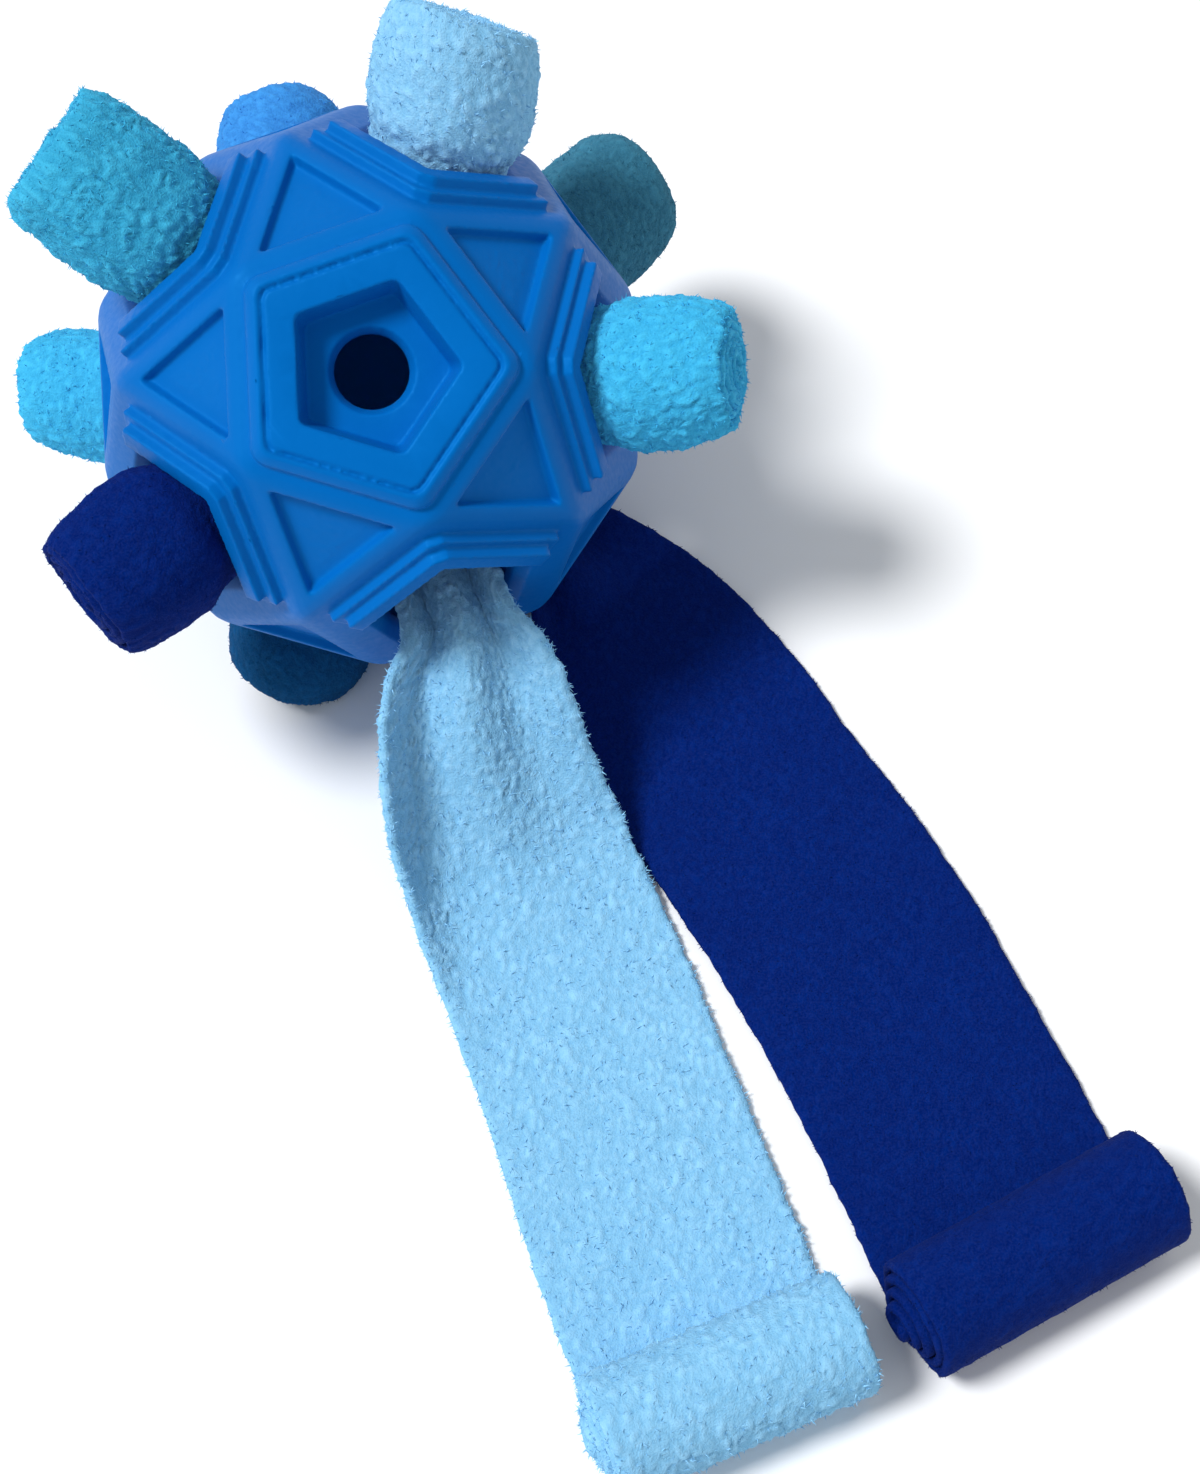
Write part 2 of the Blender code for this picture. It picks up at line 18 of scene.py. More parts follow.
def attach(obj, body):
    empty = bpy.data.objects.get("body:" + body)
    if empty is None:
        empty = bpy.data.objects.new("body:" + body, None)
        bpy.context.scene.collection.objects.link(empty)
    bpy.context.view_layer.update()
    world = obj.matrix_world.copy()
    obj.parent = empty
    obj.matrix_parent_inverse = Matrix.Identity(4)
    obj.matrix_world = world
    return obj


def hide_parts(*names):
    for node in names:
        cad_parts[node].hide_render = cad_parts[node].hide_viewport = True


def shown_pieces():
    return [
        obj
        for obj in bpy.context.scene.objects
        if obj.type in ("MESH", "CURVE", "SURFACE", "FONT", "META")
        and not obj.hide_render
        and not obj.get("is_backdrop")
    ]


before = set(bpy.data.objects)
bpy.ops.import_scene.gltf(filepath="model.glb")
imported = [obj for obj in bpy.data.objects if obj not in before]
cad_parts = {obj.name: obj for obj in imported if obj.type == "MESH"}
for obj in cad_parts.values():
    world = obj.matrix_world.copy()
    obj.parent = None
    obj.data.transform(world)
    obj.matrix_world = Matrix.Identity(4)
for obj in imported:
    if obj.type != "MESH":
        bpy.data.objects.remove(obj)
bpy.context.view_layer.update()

MM = 0.001

# %% [markdown]
# The camera comes first, because every later choice is judged through it. It stands in front of the toy and
# well above it, and looks down at a steep angle through a longish lens, so the ball keeps its round outline.

# %% Camera
CAMERA_PLACE = (5.69, -214.01, 430.4)
CAMERA_TILT = 28.5
CAMERA_LENS = 58.2

camera_data = bpy.data.cameras.new("camera")
camera_data.lens = CAMERA_LENS
camera_data.sensor_width = 36
camera_data.clip_start = 0.01
camera = bpy.data.objects.new("camera", camera_data)
camera.location = Vector(CAMERA_PLACE) * MM
camera.rotation_euler = (math.radians(CAMERA_TILT), 0, 0)
bpy.context.scene.collection.objects.link(camera)
bpy.context.scene.camera = camera

# %% [markdown]
# A plain pale floor and soft light keep the eye on the cloth. The light could be a lamp with a place, but a
# near lamp makes the near log brighter than the far rolls. A sun has only a direction and a softness, so it
# stands high on the left here, and the sky gives the rest as an even white. The Standard view shows the
# colours of cloth and rubber as they are, without the paling of a film look.

# %% Floor, sun and sky
FLOOR_COLOUR = (0.93, 0.94, 0.95, 1)
SUN_FROM = (-0.58, -0.08, 0.95)
SUN_STRENGTH = 2.9
SUN_SOFTNESS = 16.0
SKY_STRENGTH = 0.48
SKY_COLOUR = (0.95, 0.97, 1.0, 1)
FLOOR_HALF = 3

floor_mesh = bpy.data.meshes.new("floor")
corners = [(x * FLOOR_HALF, y * FLOOR_HALF, 0) for x, y in ((-1, -1), (1, -1), (1, 1), (-1, 1))]
floor_mesh.from_pydata(corners, [], [(0, 1, 2, 3)])
floor = bpy.data.objects.new("floor", floor_mesh)
bpy.context.scene.collection.objects.link(floor)
paper = bpy.data.materials.new("pale_floor")
paper.use_nodes = True
paper.node_tree.nodes["Principled BSDF"].inputs["Base Color"].default_value = FLOOR_COLOUR
paper.node_tree.nodes["Principled BSDF"].inputs["Roughness"].default_value = 0.9
floor_mesh.materials.append(paper)
floor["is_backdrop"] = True

sun_data = bpy.data.lights.new("sun", "SUN")
sun_data.energy = SUN_STRENGTH
sun_data.angle = math.radians(SUN_SOFTNESS)
sun = bpy.data.objects.new("sun", sun_data)
sun.rotation_euler = Vector(SUN_FROM).to_track_quat("Z", "Y").to_euler()
bpy.context.scene.collection.objects.link(sun)

world = bpy.data.worlds.new("studio")
world.use_nodes = True
world.node_tree.nodes["Background"].inputs["Color"].default_value = SKY_COLOUR
world.node_tree.nodes["Background"].inputs["Strength"].default_value = SKY_STRENGTH
bpy.context.scene.world = world
bpy.context.scene.view_settings.view_transform = "Standard"
print("sun from:", SUN_FROM)

# %% [markdown]
# The ball is an icosidodecahedron: twelve five-sided faces and twenty triangles. One five-sided face, the
# pole, holds a treat well, and the ten round it and behind it are windows. The places of all of them follow
# from that rule, so only the ball's centre, turn and radius are given.

# %% Where the faces of the ball are
BALL_CENTRE = np.array([-39.01, 68.84, 53.0])
BALL_TURN = Euler((math.radians(33.1), math.radians(3.6), math.radians(4.5)))
BALL_RADIUS = 55.0
SIDE = BALL_RADIUS * (math.sqrt(5) - 1) / 2
FACE_HEIGHT = math.sqrt(BALL_RADIUS**2 - (SIDE / (2 * math.sin(math.radians(36)))) ** 2)
PANEL_HEIGHT = math.sqrt(BALL_RADIUS**2 - SIDE**2 / 3)
RING_TILT = math.acos(1 / math.sqrt(5))
RIDGE_TOP = 4.4
NEIGHBOURS = 0.4
turned = np.array(BALL_TURN.to_matrix())


def face_frame(ring, azimuth):
    """Columns X, Y, Z of a window's frame: Z out along its axis, X towards the corner by its pole."""
    turn = Matrix.Rotation(math.radians(azimuth), 3, "Z")
    if ring == "front":
        turn = turn @ Matrix.Rotation(RING_TILT, 3, "Y") @ Matrix.Rotation(math.pi, 3, "Z")
    else:
        turn = turn @ Matrix.Rotation(math.pi - RING_TILT, 3, "Y")
    return turned @ np.array(turn)


face_axes = [turned[:, 2], -turned[:, 2]]
for k in range(5):
    face_axes.append(face_frame("front", 72 * k)[:, 2])
    face_axes.append(face_frame("back", 36 + 72 * k)[:, 2])
panels = []
for a in range(12):
    for b in range(a):
        for c in range(b):
            around = [face_axes[a], face_axes[b], face_axes[c]]
            if min(np.dot(around[k], around[k - 1]) for k in range(3)) > NEIGHBOURS:
                axis = sum(around) / np.linalg.norm(sum(around))
                panels.append((axis, [p - axis * np.dot(p, axis) for p in around]))
print("five-sided faces:", len(face_axes), "panels:", len(panels))

# %% [markdown]
# Pebbles, fleece and creases all come from one smooth random field, worked out for all points at once. It
# has no state: the same point, size and seed always give the same value, so every run makes the same toy.


# %% Smooth noise
def smooth_noise(points, size, seed):
    """Gradient noise from about -1 to 1 at each point of an (..., 3) array, with lumps about size across."""
    spot = np.asarray(points, float) / size + seed * 7.31
    cell = np.floor(spot).astype(np.int64)
    inside = spot - cell
    weight = inside**3 * (inside * (inside * 6 - 15) + 10)
    total = np.zeros(spot.shape[:-1])
    for corner in range(8):
        step = np.array([corner & 1, corner >> 1 & 1, corner >> 2 & 1])
        at = cell + step
        mixed = (at[..., 0] * 73856093) ^ (at[..., 1] * 19349663) ^ (at[..., 2] * 83492791) ^ (seed * 2654435)
        mixed = (mixed ^ (mixed >> 13)) * 1274126177 & 0x7FFFFFFF
        mixed = mixed ^ (mixed >> 15)
        slope = np.stack([(mixed >> shift & 255) / 127.5 - 1 for shift in (0, 8, 16)], -1)
        share = np.prod(np.where(step == 1, weight, 1 - weight), -1)
        total += share * np.sum(slope * (inside - step), -1)
    return total * 1.5


print("noise at one point:", round(float(smooth_noise(np.array([1.0, 2.0, 3.0]), 2.5, 1)), 4))

# %% [markdown]
# The ball is injection-moulded rubber, so no edge on it is sharp: the ridges, the rims of the windows and
# the well are all rounded by half a millimetre or so. A Bevel on every edge could do it, but it breaks where
# many edges meet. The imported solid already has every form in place, so a merged copy of it is filled with
# small cubes by the Remesh modifier and smoothed, which rounds all its edges alike, as a mould does. The
# floors of the twenty panels then get their pebbles as real relief, and Decimate takes away the faces that
# flat rubber doesn't need.

# %% The ball
FILL_SIZE = 0.38
ROUNDING_STEPS = 3
PANEL_FLOOR = 2.0
PANEL_INSIDE = 4.3
PEBBLE_SIZE = 1.1
PEBBLE_HEIGHT = 0.16
BALL_KEEP = 0.12


def plain_mesh(obj, name):
    """The object's evaluated mesh as a mesh of its own, with its modifiers gone."""
    graph = bpy.context.evaluated_depsgraph_get()
    made = bpy.data.meshes.new_from_object(obj.evaluated_get(graph), depsgraph=graph)
    made.name = name
    obj.modifiers.clear()
    return made


def positions(mesh):
    flat = np.empty(len(mesh.vertices) * 3, np.float32)
    mesh.vertices.foreach_get("co", flat)
    return flat.reshape(-1, 3).astype(float) / MM


def set_positions(mesh, points):
    mesh.vertices.foreach_set("co", (points * MM).astype(np.float32).ravel())
    mesh.update()


def store(mesh, name, values):
    """Keeps one number a point with the mesh, for its material to read."""
    attribute = mesh.attributes.get(name) or mesh.attributes.new(name, "FLOAT", "POINT")
    attribute.data.foreach_set("value", np.asarray(values, np.float32).ravel())


def without_doubles(mesh):
    """Takes out faces that lie back to back on the same points, which Decimate can leave behind."""
    work = bmesh.new()
    work.from_mesh(mesh)
    seen = {}
    for face in work.faces:
        seen.setdefault(tuple(sorted(vert.index for vert in face.verts)), []).append(face)
    doubles = [face for faces in seen.values() if len(faces) > 1 for face in faces]
    bmesh.ops.delete(work, geom=doubles, context="FACES")
    work.to_mesh(mesh)
    work.free()
    return len(doubles)


merged = bmesh.new()
merged.from_mesh(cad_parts["ball_shell"].data)
bmesh.ops.remove_doubles(merged, verts=merged.verts, dist=2e-6)
ball_mesh = bpy.data.meshes.new("ball")
merged.to_mesh(ball_mesh)
merged.free()
ball = bpy.data.objects.new("ball", ball_mesh)
bpy.context.scene.collection.objects.link(ball)
fill = ball.modifiers.new("fill", "REMESH")
fill.mode = "VOXEL"
fill.voxel_size = FILL_SIZE * MM
rounding = ball.modifiers.new("rounding", "SMOOTH")
rounding.factor = 0.5
rounding.iterations = ROUNDING_STEPS
ball.data = plain_mesh(ball, "ball")

points = positions(ball.data)
for axis, towards in panels:
    local = points - BALL_CENTRE
    level = local @ axis - (PANEL_HEIGHT - PANEL_FLOOR)
    inset = np.max([local @ (t / np.linalg.norm(t)) for t in towards], axis=0)
    on_floor = np.clip(1.6 - np.abs(level) / 0.3, 0, 1) * np.clip((PANEL_INSIDE - inset) / 0.5, 0, 1)
    bump = np.abs(smooth_noise(points, PEBBLE_SIZE, 11)) * on_floor * PEBBLE_HEIGHT
    points += axis * bump[:, None]
set_positions(ball.data, points)
fewer = ball.modifiers.new("fewer", "DECIMATE")
fewer.ratio = BALL_KEEP
ball.data = plain_mesh(ball, "ball")
print("double faces taken out:", without_doubles(ball.data))
ball.data.shade_smooth()
print("ball triangles:", sum(len(face.vertices) - 2 for face in ball.data.polygons))

# %% [markdown]
# Every roll and strip is a real sheet of cloth, about two millimetres thick. One helper makes them all. It
# takes the middle of the cloth as a grid of points, finds which way the cloth faces at each, and sets
# a front and a back on it, joined round the cut edges. The fleece's lumps are added to the thickness, so a
# lump always stands straight out of the cloth, however tightly it is wound.


# %% A sheet of cloth from the grid of its middle
EDGE_STEPS = 5
# Loose fibres on a face and on a strip's cut edge, where a roll's cut edge counts as 1.
TUFTS_ON_FACE = 0.3
TUFTS_ON_RIM = 1.3


def unit(vectors):
    return vectors / np.maximum(np.linalg.norm(vectors, axis=-1, keepdims=True), 1e-9)


def cloth_object(name, middle, front, back, back_columns):
    """A closed sheet round a (stations, across, 3) grid, with front and back as its half thicknesses.

    back_columns lists the columns of the grid that the back keeps, as it may need fewer than the front.
    """
    stations, across = middle.shape[:2]
    facing = unit(np.cross(np.gradient(middle, axis=1), np.gradient(middle, axis=0)))
    first_out = unit(middle[:, 0] - middle[:, 1])
    last_out = unit(middle[:, -1] - middle[:, -2])
    turns = [math.pi / 2 - math.pi * k / EDGE_STEPS for k in range(1, EDGE_STEPS)]

    def edge(column, out, angles):
        depth = (front[:, column] + back[:, column]) / 2
        lift = (front[:, column] - back[:, column]) / 2
        centre = middle[:, column] + facing[:, column] * lift[:, None]
        return [
            centre + out * (depth * math.cos(a))[:, None] + facing[:, column] * (depth * math.sin(a))[:, None]
            for a in angles
        ]

    columns = [middle[:, k] + facing[:, k] * front[:, k, None] for k in range(across)]
    columns += edge(-1, last_out, turns)
    columns += [middle[:, k] - facing[:, k] * back[:, k, None] for k in reversed(back_columns)]
    columns += edge(0, first_out, turns[::-1])
    loop = np.stack(columns, axis=1)
    around = loop.shape[1]
    index = np.arange(stations * around).reshape(stations, around)
    ahead = np.roll(index, -1, axis=1)
    quads = np.stack([index[:-1], ahead[:-1], ahead[1:], index[1:]], -1).reshape(-1, 4)
    faces = quads.tolist()
    faces.append([int(v) for v in index[0]][::-1])
    faces.append([int(v) for v in index[-1]])
    mesh = bpy.data.meshes.new(name)
    mesh.from_pydata((loop.reshape(-1, 3) * MM).tolist(), [], faces)
    mesh.update()
    mesh.shade_smooth()
    obj = bpy.data.objects.new(name, mesh)
    bpy.context.scene.collection.objects.link(obj)
    return obj


def round_the_loop(front, last_edge, back, first_edge):
    """One row of values for each station, in the order in which cloth_object joins its points."""
    last, first = [np.repeat(column[:, None], EDGE_STEPS - 1, 1) for column in (last_edge, first_edge)]
    return np.concatenate([front, last, back[:, ::-1], first], axis=1)


def rounded_end(from_start, from_end):
    """The share of the thickness that the cloth keeps near its two cut ends, over their last millimetre."""
    inside = np.clip(np.minimum(from_start, from_end), 0.02, 1)
    return np.sqrt(np.clip(1 - (1 - inside) ** 2, 0.03, 1))


def pile_height(along, across, side, lump, seed):
    """From 0 in the creases to 1 on the lumps of the pile, at places given on the flat cloth."""
    spot = np.stack([along, across, np.full(np.shape(along), side * 60.0)], -1)
    drift = np.stack([smooth_noise(spot, lump * 1.7, seed + k) for k in (1, 2, 3)], -1)
    spot = spot + drift * lump * 0.6
    lumps = np.abs(smooth_noise(spot, lump, seed + 4))
    crumbs = np.abs(smooth_noise(spot, lump * 0.45, seed + 5))
    return np.clip(1.35 * lumps + 0.45 * crumbs, 0, 1)


# %% [markdown]
# A roll is a strip wound up from one end and pushed into its window, where the rim squeezes it. Outside the
# rim it springs back into a belly, and its cut edges show as a spiral on the end. Each row of the table
# gives one roll: the window, how far it reaches, the belly, the end, how it leans and where its free edge
# lies. The sheet is laid out turn by turn, from the free edge inwards.

# %% Rolls
CLOTH = 1.85
PITCH = 2.35
CORE = 1.3
ROLL_INNER_REACH = 31.5
ROLL_COLUMNS = (
    "name", "ring", "azimuth", "reach", "belly", "end", "lean_x", "lean_y", "seam", "slot", "lump", "pile",
    "nod", "dome",
)
ROLLS = (
    ("roll_right", "front", 0, 72.8, 15.6, 13.8, 0, 0, 250, "fleece_cyan", 1.8, 0.8, 4, 1.6),
    ("roll_top", "front", 72, 73.4, 16.2, 15.4, 0, -2.0, 200, "fleece_sky", 1.9, 0.8, 12, -0.6),
    ("roll_upper_left", "front", 144, 77.0, 15.4, 14.2, 0, 0, 140, "fleece_turquoise", 1.8, 0.85, 14, -0.6),
    ("roll_lower_left", "front", 216, 72.4, 16.2, 15.2, 0, 0, 60, "fleece_navy", 1.6, 0.35, 15, 0.4),
    ("roll_behind_right", "back", 36, 76.05, 15.2, 15.6, -2.0, 2.0, 330, "fleece_teal", 1.6, 0.4, 0, 2.0),
    ("roll_behind_top", "back", 108, 65.9, 15.1, 14.4, 0, 0, 0, "fleece_mid_blue", 1.6, 0.45, 0, 1.6),
    ("roll_behind_left", "back", 180, 72.0, 14.8, 13.8, -3.0, -2.7, 30, "fleece_cyan", 1.8, 0.7, 0, 1.6),
    ("roll_under", "back", 252, 65.0, 15.6, 14.8, -2.0, 0, 330, "fleece_petrol", 1.6, 0.45, 0, 1.6),
)
FINE_STEP = 0.55
COARSE_STEP = 1.3


def roll_radius(row, height):
    """The radius of a roll at a distance from the ball's centre."""
    rim = FACE_HEIGHT + RIDGE_TOP
    reach, belly, end = row["reach"], row["belly"], row["end"]
    table = (
        (ROLL_INNER_REACH, 13.4), (ROLL_INNER_REACH + 5, 14.1), (rim - 2, 14.2), (rim + 0.4, 14.3),
        (rim + 2, (14.3 + belly) / 2), (rim + 4, belly), ((rim + reach) / 2 + 1, (belly + end) / 2 + 0.5),
        (reach - 3, end), (reach - 1.2, end - 0.8), (reach, end - 1.8), (reach + 6, end - 2.2),
    )
    fine = np.linspace(table[0][0] - 4, table[-1][0], 500)
    radius = np.interp(fine, [t[0] for t in table], [t[1] for t in table])
    bell = np.exp(-0.5 * (np.arange(-25, 26) * (fine[1] - fine[0]) / 0.9) ** 2)
    padded = np.pad(radius, 25, mode="edge")
    return np.interp(height, fine, np.convolve(padded, bell / bell.sum(), mode="valid"))


def settle(points):
    """Cloth that would pass under the floor is pressed flat on it instead, layer on layer."""
    low = 3.0
    points[..., 2] = np.where(points[..., 2] < low, low * np.exp((points[..., 2] - low) / low), points[..., 2])
    return points


def nodded(x, height, nod, start, length):
    """Bends a roll away from the pole, evenly from its rim to its end."""
    bend = nod * np.clip((height - start) / length, 0, 1.2)
    if nod == 0:
        return x, height
    middle_x = -length / nod * (1 - np.cos(bend))
    middle_height = np.where(height > start, start + length / nod * np.sin(bend), height)
    return middle_x + x * np.cos(bend), middle_height + x * np.sin(bend)


def make_roll(row, seed):
    widest = row["belly"] - CLOTH / 2
    turns = (widest - CORE) / PITCH
    outer = np.arange(0, 1.04, FINE_STEP / (2 * math.pi * widest))
    inner = [outer[-1]]
    while inner[-1] < turns:
        inner.append(inner[-1] + COARSE_STEP / (2 * math.pi * max(widest - PITCH * inner[-1], CORE)))
    passed = np.concatenate([[0.002], outer[1:], np.array(inner[1:])])
    share = 1 - passed * PITCH / widest
    length = 2 * math.pi * (widest * passed - PITCH * passed**2 / 2)
    angle = math.radians(row["seam"]) - 2 * math.pi * passed

    reach = row["reach"]
    end = reach + row["dome"] * (1 - share**2) - 0.6 * share**8
    end += 0.75 * smooth_noise(np.stack([length, 0 * length, 0 * length], -1), 15, seed)
    end += 0.45 * smooth_noise(np.stack([length, 0 * length, 0 * length], -1), 4, seed + 1)
    visible = FACE_HEIGHT + 1.0
    steps = np.concatenate(
        [np.linspace(0, 1, 5)[:-1] * (visible - ROLL_INNER_REACH),
         np.arange(visible - ROLL_INNER_REACH, reach - ROLL_INNER_REACH, FINE_STEP)]
    )
    steps = steps / (reach - ROLL_INNER_REACH)
    steps = np.append(steps[steps < 0.985], 1.0)
    height = ROLL_INNER_REACH + steps[None, :] * (end[:, None] - ROLL_INNER_REACH)

    radius = (roll_radius(row, height) - CLOTH / 2) * share[:, None]
    flat = np.stack(np.broadcast_arrays(length[:, None], height, 0.0), -1)
    swell = smooth_noise(flat, 11, seed + 2) * 0.5 + smooth_noise(flat, 5, seed + 3) * 0.25
    rim = FACE_HEIGHT + RIDGE_TOP
    out_of_rim = np.clip((height - rim) / 4, 0, 1)
    radius += swell * out_of_rim * share[:, None]
    oval = 1 + 0.02 * out_of_rim * np.cos(2 * angle[:, None] + seed)
    lean = np.clip((height - FACE_HEIGHT - RIDGE_TOP) / (row["reach"] - FACE_HEIGHT - RIDGE_TOP), 0, 1) ** 1.5
    x = radius * oval * np.cos(angle)[:, None] + row["lean_x"] * lean
    y = radius / oval * np.sin(angle)[:, None] + row["lean_y"] * lean
    x, height_bent = nodded(x, height, math.radians(row["nod"]), rim, reach - rim)
    place = face_frame(row["ring"], row["azimuth"])
    middle = settle(np.stack([x, y, height_bent], -1) @ place.T + BALL_CENTRE)

    taper = rounded_end(length, length[-1] - length)
    shown = np.clip((1.2 - passed) / 0.15, 0.25, 1)[:, None] * np.clip((height - visible) / 2, 0.1, 1)
    lift = {}
    for side, seed_side in ((1, seed + 10), (-1, seed + 30)):
        lift[side] = pile_height(flat[..., 0], flat[..., 1], side, row["lump"], seed_side)
    near_end = np.clip(1 - (end[:, None] - height) / 2.5, 0, 1)
    front = (CLOTH / 2 + row["pile"] * (lift[1] - 0.25) * np.maximum(shown, 0.4 * near_end)) * taper[:, None]
    back = (CLOTH / 2 + row["pile"] * (lift[-1] - 0.25) * 0.3 * near_end) * taper[:, None]
    columns = sorted({*range(0, len(steps), 6), *range(len(steps) - 8, len(steps))})
    roll = cloth_object(row["name"], middle, front, back, columns)
    back_lift = lift[-1][:, columns]
    # The stored pile height also sets the painted shade in the creases, in the fleece material.
    store(roll.data, "pile", round_the_loop(lift[1], lift[1][:, -1], back_lift, lift[1][:, 0]))
    outer_turn = np.clip((1.1 - passed) / 0.1, 0, 1)[:, None]
    showing = TUFTS_ON_FACE * outer_turn * np.clip((height - visible - 1) / 1.5, 0, 1)
    brim = np.ones(len(passed))
    store(roll.data, "tufts", round_the_loop(showing, brim, 0 * back_lift, 0 * brim))
    return roll, (float(end.mean() - ROLL_INNER_REACH) * MM, float(length[-1]) * MM)


sheets = []
for number, values in enumerate(ROLLS):
    row = dict(zip(ROLL_COLUMNS, values))
    roll, flat_size = make_roll(row, 100 + 7 * number)
    sheets.append((roll, row["slot"], row["name"], flat_size, "folded"))
    print(row["name"], "faces:", len(roll.data.polygons), "flat mm:", [round(v / MM) for v in flat_size])

# %% [markdown]
# Two strips have been pulled out. Each leaves its window pinched into pleats, opens over the rim, comes down
# to the floor and lies flat, and its far end is still wound into a log. The table follows the middle of the
# cloth from inside the ball to the log: place, width, heading, how the cloth banks, how high its pleats
# stand, and how far its edge curls up. A smooth curve runs through the rows.

# %% Strips
STRIP_COLUMNS = ("x", "y", "z", "width", "heading", "bank", "pleat", "curl")
SKY_STRIP = (
    (13.5, -33.2, 38.8, 19.5, -70, 6, 2.3, 0.0),
    (16.8, -42.1, 37.8, 20.0, -70, 6, 2.3, 0.0),
    (17.8, -45.8, 36.9, 22.5, -70, 4, 2.3, 0.5),
    (18.6, -53.0, 33.0, 33.0, -70, 0, 2.0, 3.0),
    (20.2, -61.6, 25.5, 39.0, -69, 0, 1.6, 5.0),
    (23.3, -71.0, 15.5, 42.5, -68, 0, 1.0, 6.0),
    (28.0, -80.7, 6.8, 44.5, -67, 0, 0.4, 5.0),
    (33.2, -92.7, 2.4, 45.5, -67, 0, 0.0, 2.5),
    (38.4, -104.7, 1.0, 45.5, -67, 0, 0.0, 0.5),
    (44.3, -120.5, 1.0, 45.5, -69, 0, 0.0, 0.0),
    (50.2, -137.4, 1.0, 46.0, -70, 0, 0.0, 0.0),
    (56.4, -155.3, 1.0, 46.5, -69, 0, 0.0, 0.0),
    (67.0, -183.8, 1.0, 46.5, -67, 0, 0.0, 0.0),
)
NAVY_STRIP = (
    (16.2, -3.2, 21.6, 19.5, -12, 0, 2.3, 0.0),
    (24.9, -5.1, 12.7, 20.0, -12, 0, 2.3, 0.0),
    (30.5, -6.3, 7.2, 22.0, -14, 0, 2.2, 0.0),
    (37.0, -9.5, 3.8, 31.0, -24, 0, 1.5, 0.0),
    (43.2, -17.2, 2.0, 41.0, -37, 0, 0.6, 0.0),
    (50.2, -26.8, 1.0, 48.5, -46, 0, 0.0, 0.0),
    (59.0, -38.6, 1.0, 50.5, -53, 0, 0.0, 0.0),
    (67.4, -51.8, 1.0, 50.5, -57, 0, 0.0, 0.0),
    (76.6, -66.8, 1.0, 50.5, -60, 0, 0.0, 0.0),
    (88.6, -86.2, 1.0, 50.5, -61, 0, 0.0, 0.0),
    (102.3, -113.3, 1.0, 50.0, -62, 0, 0.0, 0.0),
    (122.7, -160.1, 1.0, 50.0, -61.5, 0, 0.0, 0.0),
)
STRIPS = (
    # node, table, slot, size of the lumps, height of the pile, how far the inner turns slide out, and how
    # many columns of the front there are to each one of the back
    ("strip_sky", SKY_STRIP, "fleece_sky", 1.9, 0.75, 1.6, 1),
    ("strip_navy", NAVY_STRIP, "fleece_navy", 1.5, 0.25, 2.2, 2),
)
LOG_RADIUS = 12.0
LOG_PITCH = 2.1
PLEATS = 2
CURL_SHARE = 0.35
ACROSS_STEPS = 84
STRIP_STEP = 0.68


def along_table(table, places):
    """Rows at fractional places in a table, on a smooth curve through it."""
    rows = np.array(table, float)
    index = np.clip(places.astype(int), 0, len(rows) - 2)
    t = (places - index)[:, None]
    a, b = rows[np.maximum(index - 1, 0)], rows[index]
    c, d = rows[index + 1], rows[np.minimum(index + 2, len(rows) - 1)]
    return b + 0.5 * t * (c - a + t * (2 * a - 5 * b + 4 * c - d + t * (3 * (b - c) + d - a)))


